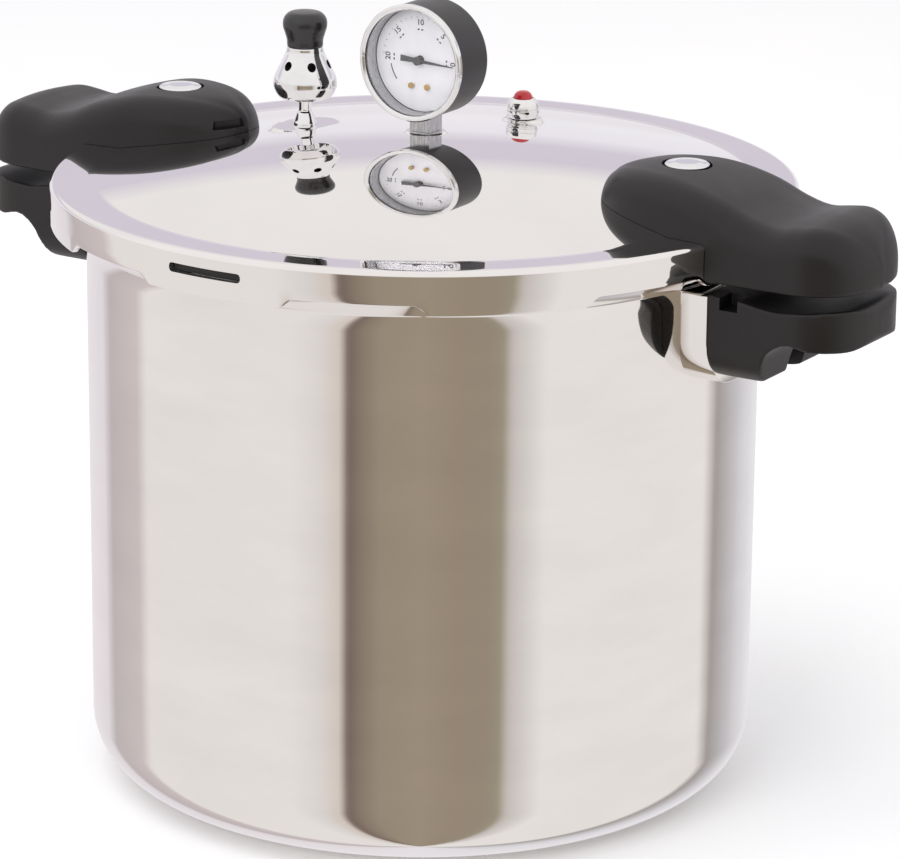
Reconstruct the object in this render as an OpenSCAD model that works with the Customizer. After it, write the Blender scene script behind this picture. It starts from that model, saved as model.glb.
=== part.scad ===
// Pressure canner: an aluminium pot with a bayonet lid, side handles, a dial gauge,
// a rocking weight on a vent pipe, a pressure indicator and a rack inside.
// The pot stands on z = 0 with its centre at the origin. +X runs along the right-hand
// handles and -Y is the front, which the gauge faces.

/* [Pot] */
// Outer radius of the pot wall
pot_r = 158; // [157.6:0.1:158.2]
// Thickness of the pot wall
pot_wall = 2.6; // [2:0.1:3]
// Thickness of the pot bottom
pot_floor = 4.5; // [3:0.5:6]
// Outer radius of the rounded bottom edge
pot_corner = 28.6; // [20:0.1:32]
// Height of the sealing rim
rim_z = 276; // [275.8:0.1:276]
// Width that each locking lug of the pot spans, in degrees
pot_lug_span = 18; // [14:1:18]

/* [Lid] */
// Outer radius of the lid skirt
skirt_r = 174.75; // [174.6:0.05:175]
// Thickness of the lid metal
lid_wall = 3; // [2.6:0.1:3]
// Height of the raised ring round the lid
ring_z = 287; // [287:0.1:287.6]
// Inner radius of the raised ring
ring_in_r = 157; // [156.6:0.1:157.2]
// Height of the flat edge of the domed panel
panel_z = 286.8; // [286.6:0.1:287]
// Outer radius of the domed panel
panel_r = 155.5; // [154.5:0.5:155.5]
// Rise of the dome at its centre
dome_rise = 14; // [12:0.5:15]
// Lower edge of the skirt between the lugs
skirt_z = 271.7; // [271:0.1:272]
// Lower edge of the skirt at the lugs
lug_z = 267.3; // [267:0.1:267.6]
// Number of locking lugs round the rim
lug_count = 8; // [8:8:8]
// Width of each deeper stretch of skirt, in degrees
skirt_lug_span = 25; // [22:1:26]
// Width of each inward lug of the lid, in degrees
lid_lug_span = 19; // [15:1:19]

/* [Handles] */
// Outer end of both handles, from the centre
handle_end = 240; // [236:1:244]
// Inner tip of the top handle, from the centre
tip_x = 100; // [99:1:101]
// Half of the handle width at the rim
handle_half = 37.5; // [36:0.5:38]
// Underside of the top handle outside the skirt
top_handle_z = 269.6; // [269:0.1:270]
// Top of the lower handle
low_handle_z = 263.5; // [262:0.5:264]
// Distance of the handle cap from the centre
cap_x = 140; // [139:1:141]
// Radius of the handle cap
cap_r = 10.2; // [10:0.1:11]
// Outer face of the metal boss that carries the lower handle
boss_x = 172.2; // [171:0.1:173]

/* [Vent and weight] */
// Place of the vent pipe on the lid
vent_at = [-80.6, 19.5]; // [-100:0.1:100]
// Radius of the vent pipe
vent_r = 3.05; // [2.8:0.05:3.05]
// Height of the weight's lower edge above the lid
weight_h = 12.7; // [12:0.1:14]
// Widest radius of the weight
weight_r = 15.25; // [14:0.25:16]
// Height of the metal part of the weight
weight_len = 25.3; // [24:0.1:26]
// Height of the black knob on the weight
knob_len = 17; // [15:0.5:19]

/* [Gauge] */
// Place of the gauge stem on the lid
gauge_at = [-18, 29]; // [-90:0.1:90]
// Height of the gauge's centre above the lid
gauge_h = 34.7; // [33:0.1:36]
// Outer radius of the gauge case
case_r = 27.2; // [27:0.1:27.6]
// Depth of the gauge case
case_depth = 24; // [24:0.5:26]
// Side of the square stem
stem_w = 11; // [10:0.5:11]
// Teeth on the needle's pinion
pinion_teeth = 10; // [10:1:10]
// Teeth on a full turn of the sector gear
sector_teeth = 60; // [60:1:60]

/* [Indicator] */
// Angle of the pressure indicator round the lid
indicator_angle = 90.8; // [86:0.1:94]
// Distance of the indicator from the centre
indicator_dist = 89.8; // [86:0.1:94]
// Radius of the indicator's collar
collar_r = 8; // [7:0.25:8.25]

/* [Rack] */
// Radius of the rack
rack_r = 148; // [140:1:150]
// Height of the rack above the pot floor
rack_lift = 12; // [8:1:20]

/* [Hidden] */

// General clearances: between parts of one body, and between bodies that move
gap = 0.1;
free = 0.4;

// Pot
rim_flange_r = 166;
pot_lug_r = 171.1;
pot_lug_top = 274.4;
pot_lug_base = 270.6;
pot_in_r = pot_r - pot_wall;

// Lid section
skirt_in_r = skirt_r - lid_wall;
shoulder = 2.5;
under_z = ring_z - lid_wall;
dome_sphere_r = (panel_r * panel_r + dome_rise * dome_rise) / (2 * dome_rise);
window_angle = -90.9;
window_len = 38.4;
window_z = [276.2, 280.4];

// Handles
top_screw_r = 2.5;
head_z = 300;
cap_seat_z = 309.6;
low_screw_r = 3;
low_screw_z = 241;
low_recess_x = 187;
leg_round = 17;
leg_base = 224.4;
boss_half = 30;
boss_base = 218;
boss_top = 262;

// Vent pipe, weight, gauge and indicator heights
pad_h = 0.9;
vent_z = lid_top(norm(vent_at)) + pad_h;
gauge_z = lid_top(norm(gauge_at)) + pad_h;
pad_z = lid_top(indicator_dist) + 1.6;
pipe_top = 24;

// Gauge movement, measured from the back of the case
back_plate_y = 6;
front_plate_y = 13;
plate_t = 1;
gear_y = 8.2;
gear_t = 1.4;
dial_y = 16.5;
needle_y = 18.6;
gear_module = 0.3;
pinion_r = gear_module * pinion_teeth / 2;
sector_r = gear_module * sector_teeth / 2;
sector_angle = -30;
sector_at = (pinion_r + sector_r) * [cos(sector_angle), sin(sector_angle)];
tube_r = 19.6;
tube_half_w = 0.8;
tube_half_d = 3;
tube_start = -107.5;
tube_sweep = 256;
block_top = -15;
tail_len = 4.6;
tail_angle = 80;
tail_at = sector_at + tail_len * [cos(tail_angle), sin(tail_angle)];
tip_angle = tube_start - tube_sweep - 4.5;
link_y = 7.35;
link_t = 0.6;

// Height of the panel's upper face at a distance r from the centre
function lid_top(r) =
    panel_z - dome_sphere_r + dome_rise + sqrt(dome_sphere_r * dome_sphere_r - r * r);

// Points of an arc from angle a to angle b
function arc(centre, r, a, b, n = 6) =
    [for (i = [0:n]) let (t = a + (b - a) * i / n) centre + r * [cos(t), sin(t)]];

// One smooth curve through a short list of points, by Catmull-Rom blending
function blend(p, i, t) =
    let (a = p[max(i - 1, 0)], b = p[i], c = p[i + 1], d = p[min(i + 2, len(p) - 1)])
    0.5 * (2 * b + (c - a) * t + (2 * a - 5 * b + 4 * c - d) * t * t
        + (3 * b - a - 3 * c + d) * t * t * t);
function curve(p, n = 4) = concat(
    [for (i = [0:len(p) - 2], k = [0:n - 1]) blend(p, i, k / n)], [p[len(p) - 1]]);

// ---- pot ----

// Half section of a cup with a rounded bottom edge
module cup_section(r, h, corner) {
    translate([0, corner]) square([r, h - corner]);
    square([r - corner, corner]);
    translate([r - corner, corner]) intersection() {
        circle(r = corner, $fn = 96);
        translate([0, -corner]) square(corner);
    }
}

module pot_body() {
    color("gainsboro") {
        difference() {
            union() {
                rotate_extrude($fn = 180) cup_section(pot_r, rim_z, pot_corner);
                rotate_extrude($fn = 180) polygon([
                    [pot_r - 1, rim_z - 14], [pot_r, rim_z - 14], [rim_flange_r, rim_z - 6],
                    [rim_flange_r, rim_z - 1], [rim_flange_r - 1, rim_z], [pot_r - 1, rim_z]
                ]);
            }
            translate([0, 0, pot_floor]) rotate_extrude($fn = 180)
                cup_section(pot_in_r, rim_z, pot_corner - pot_wall);
        }
        for (i = [0:lug_count - 1])
            rotate(i * 360 / lug_count - pot_lug_span / 2)
                rotate_extrude(angle = pot_lug_span, $fn = 180)
                    translate([rim_flange_r - 0.5, pot_lug_base])
                        square([pot_lug_r - rim_flange_r + 0.5, pot_lug_top - pot_lug_base]);
    }
}

// Block between the pot wall and a lower handle, drilled for the handle screw
module boss() {
    round_r = 20;
    difference() {
        translate([pot_r - 12, 0, 0]) rotate([90, 0, 90])
            linear_extrude(boss_x - pot_r + 12) union() {
                translate([-boss_half, boss_base + round_r])
                    square([2 * boss_half, boss_top - boss_base - round_r]);
                translate([-boss_half + round_r, boss_base])
                    square([2 * (boss_half - round_r), round_r]);
                for (s = [-1, 1])
                    translate([s * (boss_half - round_r), boss_base + round_r])
                        circle(r = round_r, $fn = 64);
            }
        cylinder(r = pot_r + gap / 2, h = 2 * rim_z, $fn = 180);
        translate([pot_r + 3, 0, low_screw_z]) rotate([0, 90, 0])
            cylinder(r = low_screw_r + gap / 2, h = 40, $fn = 48);
    }
}

// Outline of both handles seen from above, from x = a to the outer end
function plan_half() = curve([
    [tip_x, 0], [tip_x + 2, 11], [tip_x + 9, 20.5], [tip_x + 22, 28.5], [tip_x + 42, 34],
    [tip_x + 68, handle_half], [handle_end - 34, handle_half], [handle_end - 18, handle_half - 2.5],
    [handle_end - 6, handle_half - 12], [handle_end - 1, handle_half - 24], [handle_end, 0]
]);
module handle_plan() {
    half = plan_half();
    polygon(concat(half, [for (i = [len(half) - 2:-1:1]) [half[i].x, -half[i].y]]));
}

module lower_handle() {
    color([0.17, 0.16, 0.16]) difference() {
        intersection() {
            translate([0, 0, boss_base - 10]) linear_extrude(rim_z - boss_base) handle_plan();
            rotate([90, 0, 0]) linear_extrude(2 * handle_half, center = true) polygon(concat(
                [[boss_x + gap, low_handle_z + 0.5], [boss_x + gap, 226]],
                curve([[176, 225.2], [190, 224.6], [197, 226]]),
                curve([[199, 233], [203, 242], [212, 246.5], [222, 244.6], [231, 244]]),
                arc([handle_end - 6, 250], 6, -90, 0), arc([handle_end - 6, 257], 6, 0, 90),
                curve([[226, low_handle_z - 0.8], [205, low_handle_z - 2], [190, low_handle_z]])
            ));
        }
        // Round the lower corners of the leg
        for (s = [0, 1]) mirror([0, s, 0]) translate([boss_x - 1, 0, 0]) rotate([90, 0, 90])
            linear_extrude(40) difference() {
                translate([handle_half - leg_round, boss_base])
                    square([leg_round + 1, leg_round + leg_base - boss_base]);
                translate([handle_half - leg_round, leg_base + leg_round])
                    circle(r = leg_round, $fn = 96);
            }
        translate([boss_x - 1, 0, low_screw_z]) rotate([0, 90, 0])
            cylinder(r = low_screw_r + 0.3, h = 60, $fn = 48);
        translate([low_recess_x, 0, low_screw_z]) rotate([0, 90, 0])
            cylinder(r = 7.5, h = 17, $fn = 48);
        translate([low_recess_x, -7.5, boss_base]) cube([17, 15, low_screw_z - boss_base]);
        translate([179, -handle_half - 1, low_handle_z - 5.5]) cube([9, 12, 10]);
    }
}

// Hexagon-socket cap screw along +X with its tip at the origin
module side_screw(r, shank, head_r, head_h) {
    difference() {
        union() {
            rotate([0, 90, 0]) cylinder(r = r, h = shank, $fn = 48);
            translate([shank, 0, 0]) rotate([0, 90, 0]) cylinder(r = head_r, h = head_h, $fn = 48);
        }
        translate([shank + head_h - 2.2, 0, 0]) rotate([0, 90, 0]) cylinder(r = 2.6, h = 3, $fn = 6);
    }
}

module lower_handle_screws() {
    color("silver") for (a = [0, 180]) rotate(a)
        translate([pot_r + 4, 0, low_screw_z])
            side_screw(low_screw_r, low_recess_x + 1.2 - pot_r - 4, 5.2, 5);
}

module lower_handle_washers() {
    color("silver") for (a = [0, 180]) rotate(a)
        translate([low_recess_x + gap, 0, low_screw_z]) rotate([0, 90, 0]) washer(3.2, 6.5, 1);
}

// ---- rack and gasket ----

module canning_rack() {
    color("lightgray") {
        difference() {
            translate([0, 0, pot_floor + rack_lift]) cylinder(r = rack_r, h = 1.5, $fn = 120);
            for (ring = [1:5], i = [0:ring * 6 - 1])
                rotate(i * 60 / ring + ring * 11) translate([ring * 26, 0, 0])
                    cylinder(r = 4.5, h = 60, $fn = 24);
        }
        for (i = [0:5]) rotate(i * 60 + 30) translate([rack_r - 30, 0, pot_floor + 0.1])
            cylinder(r = 4, h = rack_lift, $fn = 32);
    }
}

module gasket() {
    color([0.12, 0.12, 0.12]) rotate_extrude($fn = 180) difference() {
        polygon([
            [160, rim_z + 0.3], [skirt_in_r - free, rim_z + 0.3], [skirt_in_r - free, under_z - 3.2],
            [skirt_in_r - 3.2, under_z - free], [162, under_z - free], [160, under_z - 2.2]
        ]);
        translate([159, rim_z + 2.6]) square([7, 1.6]);
    }
}

// ---- lid ----

// Upper face of the lid from the centre outwards
function lid_face() = concat(
    [for (i = [0:14]) let (r = panel_r * i / 14) [r, lid_top(r)]],
    [[ring_in_r + 1, ring_z]],
    arc([skirt_r - shoulder, ring_z - shoulder], shoulder, 90, 0)
);
// Lower face of the lid, inside the skirt and under the ring and the panel
function lid_under() = concat(
    [[skirt_in_r, under_z - 2.5], [skirt_in_r - 2.5, under_z], [ring_in_r + 1, under_z]],
    [for (i = [14:-1:0]) let (r = panel_r * i / 14) [r, lid_top(r) - lid_wall]]
);

module lid() {
    lug_step = 360 / lug_count;
    notch = lug_step - skirt_lug_span;
    color("gainsboro") difference() {
        union() {
            rotate_extrude($fn = 180)
                polygon(concat(lid_face(), [[skirt_r, lug_z], [skirt_in_r, lug_z]], lid_under()));
            for (i = [0:lug_count - 1]) rotate(i * lug_step - lid_lug_span / 2)
                rotate_extrude(angle = lid_lug_span, $fn = 180)
                    translate([rim_flange_r + 1, lug_z]) square([skirt_in_r - rim_flange_r, 2.6]);
            rotate(indicator_angle) translate([indicator_dist, 0, pad_z - 3.4])
                cylinder(r = collar_r + 1.6, h = 3.4, $fn = 64);
            translate([vent_at.x, vent_at.y, vent_z - 2.5]) cylinder(r = 9, h = 2.5, $fn = 64);
            translate([gauge_at.x, gauge_at.y, gauge_z - 2.5]) cylinder(r = 10, h = 2.5, $fn = 64);
        }
        for (i = [0:lug_count - 1]) rotate((i + 0.5) * lug_step - notch / 2)
            rotate_extrude(angle = notch, $fn = 180)
                translate([skirt_in_r - 1, lug_z - 1]) square([lid_wall + 2, skirt_z - lug_z + 1]);
        rotate(indicator_angle) translate([indicator_dist, 0, panel_z - 20])
            cylinder(r = 4, h = 60, $fn = 48);
        for (s = [-1, 1]) translate([s * cap_x, 0, panel_z - 20])
            cylinder(r = top_screw_r + 0.2, h = 60, $fn = 48);
        translate([vent_at.x, vent_at.y, panel_z - 20]) cylinder(r = 4.2, h = 60, $fn = 48);
        translate([gauge_at.x, gauge_at.y, panel_z - 20]) cylinder(r = 5, h = 60, $fn = 48);
        rotate(window_angle) {
            h = window_z[1] - window_z[0];
            translate([skirt_in_r - 1.6, -window_len / 2 + h / 2, window_z[0]])
                cube([lid_wall + 3, window_len - h, h]);
            for (s = [-1, 1])
                translate([skirt_in_r - 1.6, s * (window_len - h) / 2, window_z[0] + h / 2])
                    rotate([0, 90, 0]) cylinder(r = h / 2, h = lid_wall + 3, $fn = 32);
        }
    }
}

// ---- top handles ----

function top_line() = curve([
    [tip_x, 296.5], [tip_x + 1.2, 301], [tip_x + 6, 306.8], [tip_x + 16, 310.6], [tip_x + 32, 312.4],
    [tip_x + 50, 311.6], [tip_x + 70, 306.8], [tip_x + 86, 300.4], [tip_x + 99, 297.4],
    [tip_x + 111, 298.8], [tip_x + 120, 299.6], [handle_end - 11, 297], [handle_end - 4, 290],
    [handle_end, 279], [handle_end - 2, 272]
]);

module top_handle() {
    color([0.2, 0.19, 0.2]) difference() {
        intersection() {
            translate([0, 0, lug_z]) linear_extrude(60) handle_plan();
            rotate([90, 0, 0]) linear_extrude(2 * handle_half, center = true) polygon(concat(
                top_line(), [[handle_end - 5, top_handle_z], [skirt_r - 6, top_handle_z],
                [skirt_r - 6, under_z], [tip_x, under_z]]
            ));
        }
        // Room for the lid, whose upper face the handle is moulded to
        rotate_extrude($fn = 180) polygon(concat(
            [for (p = lid_face()) p + [0, gap]],
            [[skirt_r + gap, ring_z - shoulder], [skirt_r + gap, 200], [0, 200]]
        ));
        translate([cap_x, 0, 200]) cylinder(r = top_screw_r + 0.2, h = 200, $fn = 48);
        translate([cap_x, 0, head_z]) cylinder(r = 5.6, h = 60, $fn = 48);
        translate([cap_x, 0, cap_seat_z]) cylinder(r = cap_r + 1.3, h = 60, $fn = 64);
        // Notch in the side of the nose
        translate([tip_x, 0, 298]) linear_extrude(4)
            polygon([[-4, 2.5], [3.5, 2.5], [9.5, 14.5], [6, 23], [-4, 23]]);
    }
}

// Screw through a top handle, its head under the cap
module top_screw() {
    difference() {
        union() {
            translate([0, 0, lid_top(cap_x) - 12])
                cylinder(r = top_screw_r, h = head_z - lid_top(cap_x) + 13, $fn = 48);
            translate([0, 0, head_z]) cylinder(r = 4.8, h = 3.6, $fn = 48);
        }
        translate([0, 0, head_z + 1.6]) cylinder(r = 2.3, h = 3, $fn = 6);
    }
}

module top_handle_screws() {
    color("silver") for (a = [0, 180]) rotate(a) translate([cap_x, 0, 0]) top_screw();
}
module top_handle_washers() {
    color("silver") for (a = [0, 180]) rotate(a)
        translate([cap_x, 0, under_lid(cap_x, 5.5) - 1]) washer(2.6, 5.5, 1);
}
module top_handle_nuts() {
    color("silver") for (a = [0, 180]) rotate(a)
        translate([cap_x, 0, under_lid(cap_x, 5.5) - 5.1]) nut(2.55, 8, 4);
}

module handle_cap() {
    color("silver") translate([cap_x, 0, cap_seat_z + gap]) rotate_extrude($fn = 96) polygon(concat(
        [[0, 0], [cap_r, 0], [cap_r, 2]], arc([cap_r - 1.2, 2], 1.2, 20, 80, 4),
        [[cap_r - 3.4, 3.5], [cap_r - 4, 3.2], [0, 3.5]]
    ));
}

// Flat washer and hexagon nut, standing on z = 0
module washer(bore, r, h) {
    difference() {
        cylinder(r = r, h = h, $fn = 64);
        translate([0, 0, -1]) cylinder(r = bore, h = h + 2, $fn = 48);
    }
}
module nut(bore, across_flats, h) {
    difference() {
        cylinder(r = across_flats / sqrt(3), h = h, $fn = 6);
        translate([0, 0, -1]) cylinder(r = bore, h = h + 2, $fn = 48);
    }
}
// Height under the lid where a washer of radius r seats at a distance d from the centre
function under_lid(d, r) = lid_top(d + r) - lid_wall - gap;

// ---- vent pipe and weight ----

module vent_pipe() {
    color("silver") translate([vent_at.x, vent_at.y, vent_z]) difference() {
        union() {
            translate([0, 0, -11]) cylinder(r = 4, h = 12, $fn = 48);
            translate([0, 0, gap]) cylinder(r = 5.6, h = 4.4, $fn = 6);
            translate([0, 0, 4.5]) cylinder(r1 = 5, r2 = vent_r, h = 3.5, $fn = 48);
            translate([0, 0, 8]) cylinder(r = vent_r, h = pipe_top - 10, $fn = 48);
            translate([0, 0, pipe_top - 2]) cylinder(r1 = vent_r, r2 = 1.7, h = 2, $fn = 48);
        }
        translate([0, 0, -12]) cylinder(r = 1.2, h = 60, $fn = 32);
    }
}

module vent_washer() {
    color("silver") translate([vent_at.x, vent_at.y, under_lid(norm(vent_at), 7) - 1])
        washer(4.1, 7, 1);
}
module vent_nut() {
    color("silver") translate([vent_at.x, vent_at.y, under_lid(norm(vent_at), 7) - 5.1])
        nut(4.05, 12, 4);
}

// Outer radius line of the weight from its lower edge to its top
function weight_line() = curve([
    [10.6, 0], [13.2, 1.8], [weight_r, 6.6], [weight_r - 0.5, 10.4], [weight_r - 2.6, 15],
    [10.6, 19.2], [9.1, 22.6], [8.7, weight_len]
]);

module weight_body() {
    color("silver") translate([vent_at.x, vent_at.y, vent_z + weight_h]) difference() {
        rotate_extrude($fn = 120)
            polygon(concat([[0, 0]], weight_line(), [[0, weight_len]]));
        translate([0, 0, -1]) cylinder(r = vent_r + 0.35, h = pipe_top - weight_h + 1.3, $fn = 48);
        translate([0, 0, -1]) cylinder(r = 7, h = 4, $fn = 48);
        cylinder(r = 1.2, h = 14, $fn = 32);
        translate([0, 0, 13.4]) cylinder(r = 5.5, h = 6, $fn = 48);
        translate([0, 0, 19]) cylinder(r = 2.45, h = 20, $fn = 48);
        for (i = [0:5]) rotate(i * 60 + 20) translate([0, 0, 17]) rotate([0, 90, 0])
            cylinder(r = 1.6, h = 20, $fn = 32);
    }
}

module weight_knob() {
    color([0.1, 0.1, 0.1]) translate([vent_at.x, vent_at.y, vent_z + weight_h + weight_len])
        difference() {
            rotate_extrude($fn = 96) polygon(concat([[0, gap], [8.4, gap]], curve([
                [8.6, 0.6], [8.7, 3.4], [9.7, 6.6], [10.6, 10], [10.1, 13.6], [7.6, 16.2],
                [3.6, knob_len - 0.1], [0, knob_len]
            ])));
            translate([0, 0, -1]) cylinder(r = 2.55, h = 11, $fn = 48);
        }
}

module weight_stud() {
    color("silver") translate([vent_at.x, vent_at.y, vent_z + weight_h + 20.5])
        cylinder(r = 2.4, h = 14, $fn = 48);
}

// ---- pressure indicator ----

module at_indicator(z) {
    rotate(indicator_angle) translate([indicator_dist, 0, z]) children();
}

module indicator_collar() {
    color("silver") at_indicator(pad_z) difference() {
        union() {
            rotate_extrude($fn = 96) polygon(concat(
                [[0, gap], [6, gap]], curve([[6.6, 0.4], [collar_r - 0.3, 2.6], [collar_r, 4.3]]),
                [[collar_r - 0.7, 4.5], [collar_r - 0.7, 4.9]],
                curve([[collar_r, 5.1], [collar_r - 0.8, 7.6], [collar_r - 2.6, 9.8]]), [[0, 9.8]]
            ));
            translate([0, 0, -16]) cylinder(r = 3.9, h = 17, $fn = 48);
        }
        translate([0, 0, -20]) cylinder(r = 2.55, h = 40, $fn = 48);
        translate([0, 0, 6.8]) cylinder(r = 5, h = 10, $fn = 48);
    }
}

module indicator_pin() {
    color("firebrick") at_indicator(pad_z) {
        translate([0, 0, -20]) cylinder(r = 2.5, h = 28, $fn = 48);
        rotate_extrude($fn = 96) polygon(concat(
            [[0, 7.2], [4.7, 7.2], [4.7, 9.9]], curve([[4.6, 10.3], [3.6, 11.9], [2, 12.9], [0, 13.3]])
        ));
        translate([0, 0, -24.2]) cylinder(r = 4, h = 1.6, $fn = 48);
        translate([0, 0, -23]) cylinder(r = 1.9, h = 4, $fn = 48);
    }
}

module indicator_seal() {
    color([0.1, 0.1, 0.1]) at_indicator(pad_z - 22.5) rotate_extrude($fn = 64)
        translate([2.9, 1.1]) circle(r = 0.9, $fn = 32);
}

module indicator_nut() {
    color("silver") at_indicator(under_lid(indicator_dist, 4) - 4.5) nut(3.95, 11, 3.4);
}

// ---- gauge ----
// Gauge parts are drawn with the dial facing +Z and their depth counted from the case back,
// then turned so that the dial faces -Y.

module at_gauge() {
    translate([gauge_at.x, gauge_at.y + case_depth / 2, gauge_z + gauge_h]) rotate([90, 0, 0])
        children();
}

// Square stem below the case, with the block inside that carries the tube and the movement
module gauge_socket() {
    color("silver") {
        difference() {
            translate([gauge_at.x, gauge_at.y, gauge_z + gap]) {
                translate([0, 0, -12]) cylinder(r = 4.8, h = 13, $fn = 48);
                translate([-stem_w / 2, -stem_w / 2, 0])
                    cube([stem_w, stem_w, gauge_h - case_r + 2.4]);
            }
            translate([gauge_at.x, gauge_at.y, gauge_z - 20]) cylinder(r = 1.5, h = 30, $fn = 32);
        }
        at_gauge() difference() {
            translate([-stem_w / 2, -case_r + 2.4, 1.6])
                cube([stem_w, block_top + case_r - 2.4, 13.8]);
            for (s = [-1, 1]) translate([s * 3, -20, 0]) cylinder(r = 1.3, h = 11, $fn = 32);
        }
        at_gauge() translate([-4, block_top - 0.5, back_plate_y - 1.6]) cube([8, 9, 1.5]);
    }
}

module gauge_washer() {
    color("silver") translate([gauge_at.x, gauge_at.y, under_lid(norm(gauge_at), 8) - 1])
        washer(4.9, 8, 1);
}
module gauge_nut() {
    color("silver") translate([gauge_at.x, gauge_at.y, under_lid(norm(gauge_at), 8) - 6.1])
        nut(4.85, 14, 5);
}

module gauge_case() {
    color([0.15, 0.15, 0.15]) at_gauge() difference() {
        cylinder(r = case_r, h = case_depth, $fn = 120);
        translate([0, 0, 1.5]) cylinder(r = case_r - 1.5, h = case_depth, $fn = 120);
        translate([-stem_w / 2 - gap, -case_r - 5, case_depth / 2 - stem_w / 2 - gap])
            cube([stem_w + 2 * gap, 16, stem_w + 2 * gap]);
        for (s = [-1, 1]) translate([s * 3, -20, -1]) cylinder(r = 1.35, h = 5, $fn = 32);
    }
}

module case_screws() {
    color("silver") at_gauge() for (s = [-1, 1]) translate([s * 3, -20, 0]) {
        translate([0, 0, -1.7]) cylinder(r = 2.2, h = 1.6, $fn = 48);
        translate([0, 0, -0.5]) cylinder(r = 1.2, h = case_depth / 2 - stem_w / 2 + 0.4, $fn = 32);
    }
}

module gauge_bezel() {
    color("silver") at_gauge() difference() {
        translate([0, 0, case_depth - 3]) cylinder(r = case_r + 0.8, h = 6.4, $fn = 120);
        translate([0, 0, case_depth - 4]) cylinder(r = case_r + gap, h = 4.1, $fn = 120);
        translate([0, 0, case_depth]) cylinder(r = case_r - 1.2, h = 2.6, $fn = 120);
        translate([0, 0, case_depth]) cylinder(r = case_r - 3, h = 10, $fn = 120);
    }
}

module gauge_lens() {
    color([0.85, 0.92, 0.95, 0.4]) at_gauge() translate([0, 0, case_depth + gap])
        cylinder(r = case_r - 1.4, h = 2.2, $fn = 120);
}

module gauge_dial() {
    color("whitesmoke") at_gauge() translate([0, 0, dial_y]) difference() {
        cylinder(r = case_r - 2.6, h = 0.8, $fn = 120);
        translate([0, 0, -1]) cylinder(r = 2, h = 3, $fn = 48);
        for (s = [-1, 1]) translate([s * 4.4, -12.5, -1]) cylinder(r = 0.85, h = 3, $fn = 32);
    }
}

module dial_screws() {
    color("goldenrod") at_gauge() for (s = [-1, 1]) translate([s * 4.4, -12.5, 0]) {
        translate([0, 0, dial_y + 0.9]) cylinder(r = 1.4, h = 0.7, $fn = 32);
        translate([0, 0, front_plate_y + plate_t + gap]) cylinder(r = 0.75, h = 3.6, $fn = 32);
    }
}

// Flat-oval pressure tube bent to a C, from the socket round to the tip
module bourdon_tube() {
    color("peru") at_gauge() translate([0, 0, case_depth / 2]) rotate(tube_start - tube_sweep)
        rotate_extrude(angle = tube_sweep, $fn = 120) translate([tube_r, 0]) difference() {
            union() {
                square([2 * tube_half_w, 2 * (tube_half_d - tube_half_w)], center = true);
                for (s = [-1, 1]) translate([0, s * (tube_half_d - tube_half_w)])
                    circle(r = tube_half_w, $fn = 32);
            }
            square([0.8, 2 * (tube_half_d - tube_half_w)], center = true);
        }
}

module tube_tip() {
    color("goldenrod") at_gauge() rotate(tip_angle) translate([tube_r, 0, case_depth / 2])
        cube([2.4, 2.6, 6], center = true);
}

// A movement plate, bored for the needle's arbor and the sector's shaft
module movement_plate(y) {
    color("goldenrod") at_gauge() translate([0, 0, y]) difference() {
        linear_extrude(plate_t)
            polygon([[-7, 9], [4, 9], [13, 1], [13, -9], [7, -14.4], [-7, -14.4]]);
        translate([0, 0, -1]) cylinder(r = 0.8, h = 3, $fn = 32);
        translate([sector_at.x, sector_at.y, -1]) cylinder(r = 0.8, h = 3, $fn = 32);
    }
}

module movement_pillars() {
    color("goldenrod") at_gauge() for (p = [[-5.2, 6.6], [-5, -12.6], [4.6, -12.8]])
        translate([p.x, p.y, back_plate_y + plate_t + gap / 2])
            cylinder(r = 1.2, h = front_plate_y - back_plate_y - plate_t - gap, $fn = 32);
}

// Flat gear outline with straight-sided teeth, the first one at angle phase
module gear(teeth, count, phase) {
    pitch_r = gear_module * teeth / 2;
    root_r = pitch_r - 1.15 * gear_module;
    tip_r = pitch_r + 0.75 * gear_module;
    half_root = 0.62 * gear_module;
    half_tip = 0.26 * gear_module;
    circle(r = root_r, $fn = 96);
    for (i = [0:count - 1]) rotate(phase + i * 360 / teeth) polygon([
        [root_r - 0.2, -half_root], [tip_r, -half_tip], [tip_r, half_tip], [root_r - 0.2, half_root]
    ]);
}

module needle_arbor() {
    color("goldenrod") at_gauge() {
        translate([0, 0, back_plate_y - 0.6])
            cylinder(r = 0.75, h = needle_y - back_plate_y + 0.6, $fn = 48);
        translate([0, 0, gear_y - 0.3]) linear_extrude(gear_t + 0.6)
            gear(pinion_teeth, pinion_teeth, sector_angle + 180 / pinion_teeth);
    }
}

module gauge_needle() {
    color([0.1, 0.1, 0.1]) at_gauge() translate([0, 0, needle_y + gap / 2]) {
        cylinder(r = 2.1, h = 1.4, $fn = 48);
        rotate(-3) linear_extrude(0.5) polygon([
            [-9.5, -1.5], [-9.5, 1.5], [0, 0.9], [19.5, 0.15], [19.5, -0.15], [0, -0.9]
        ]);
    }
}

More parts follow.
